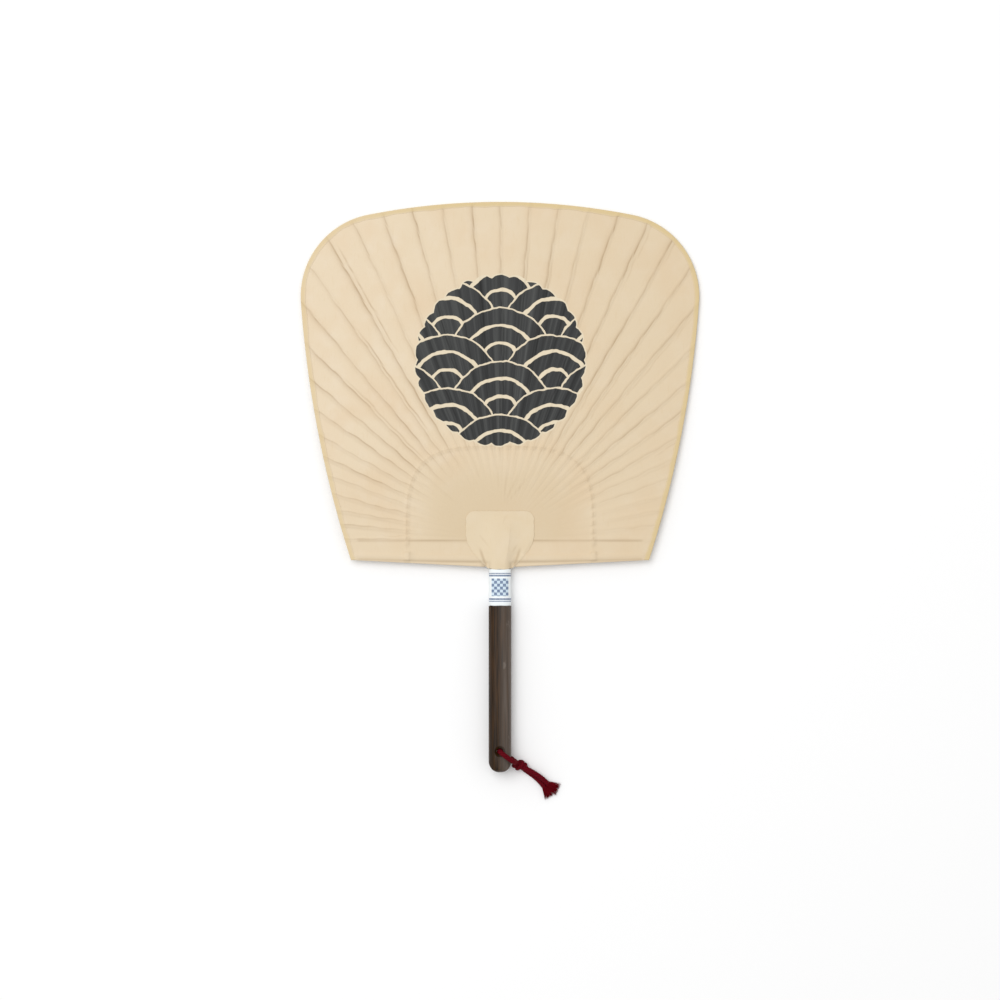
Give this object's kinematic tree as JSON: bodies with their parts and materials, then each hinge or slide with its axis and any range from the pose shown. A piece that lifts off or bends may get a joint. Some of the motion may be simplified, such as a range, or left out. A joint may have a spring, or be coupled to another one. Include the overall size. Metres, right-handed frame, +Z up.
{
  "type": "paper hand fan",
  "caption": "Rigid paper hand fan: bamboo ribs spread between two glued sheets, slotted dark wooden handle, paper neck band and a knotted crimson cord through the handle's end.",
  "frame": {"origin": "on the table under the middle of the fan without its cord: halfway across, and halfway between the top edge and the end of the grip", "axes": "+Y from the handle towards the top of the blade, +Z up from the table towards the viewer, +X to the viewer's right"},
  "size_m": [0.2398, 0.36, 0.0168],
  "materials": {
    "stained_wood": "dark stained bamboo, waxed to a soft sheen, straight grain",
    "bamboo": "bare split bamboo",
    "cotton_thread": "twisted cotton thread",
    "fan_paper": "matte handmade paper over ribs, printed on the front",
    "edge_paper": "matte folded paper tape",
    "patch_paper": "matte thick paper",
    "label_paper": "smooth white paper with a blue pattern",
    "crimson_cord": "braided soft cord with frayed ends"
  },
  "bodies": {
    "fan": {"handle": "stained_wood", "rib_frame": "bamboo", "bow": "bamboo", "weave_thread": "cotton_thread", "front_paper": "fan_paper", "back_paper": "fan_paper", "edge_tape": "edge_paper", "front_patch": "patch_paper", "back_patch": "patch_paper", "neck_label": "label_paper"},
    "tassel": {"cord_loop": "crimson_cord", "cord_knot": "crimson_cord", "cord_tails": "crimson_cord", "frayed_ends": "crimson_cord"}
  },
  "joints": [
    {"name": "tassel_swing", "type": "hinge", "parent": "fan", "child": "tassel", "pos_m": [0, -0.1588, 0.0082], "axis": [0, 0, 1], "range_deg": [-5, 75]}
  ]
}
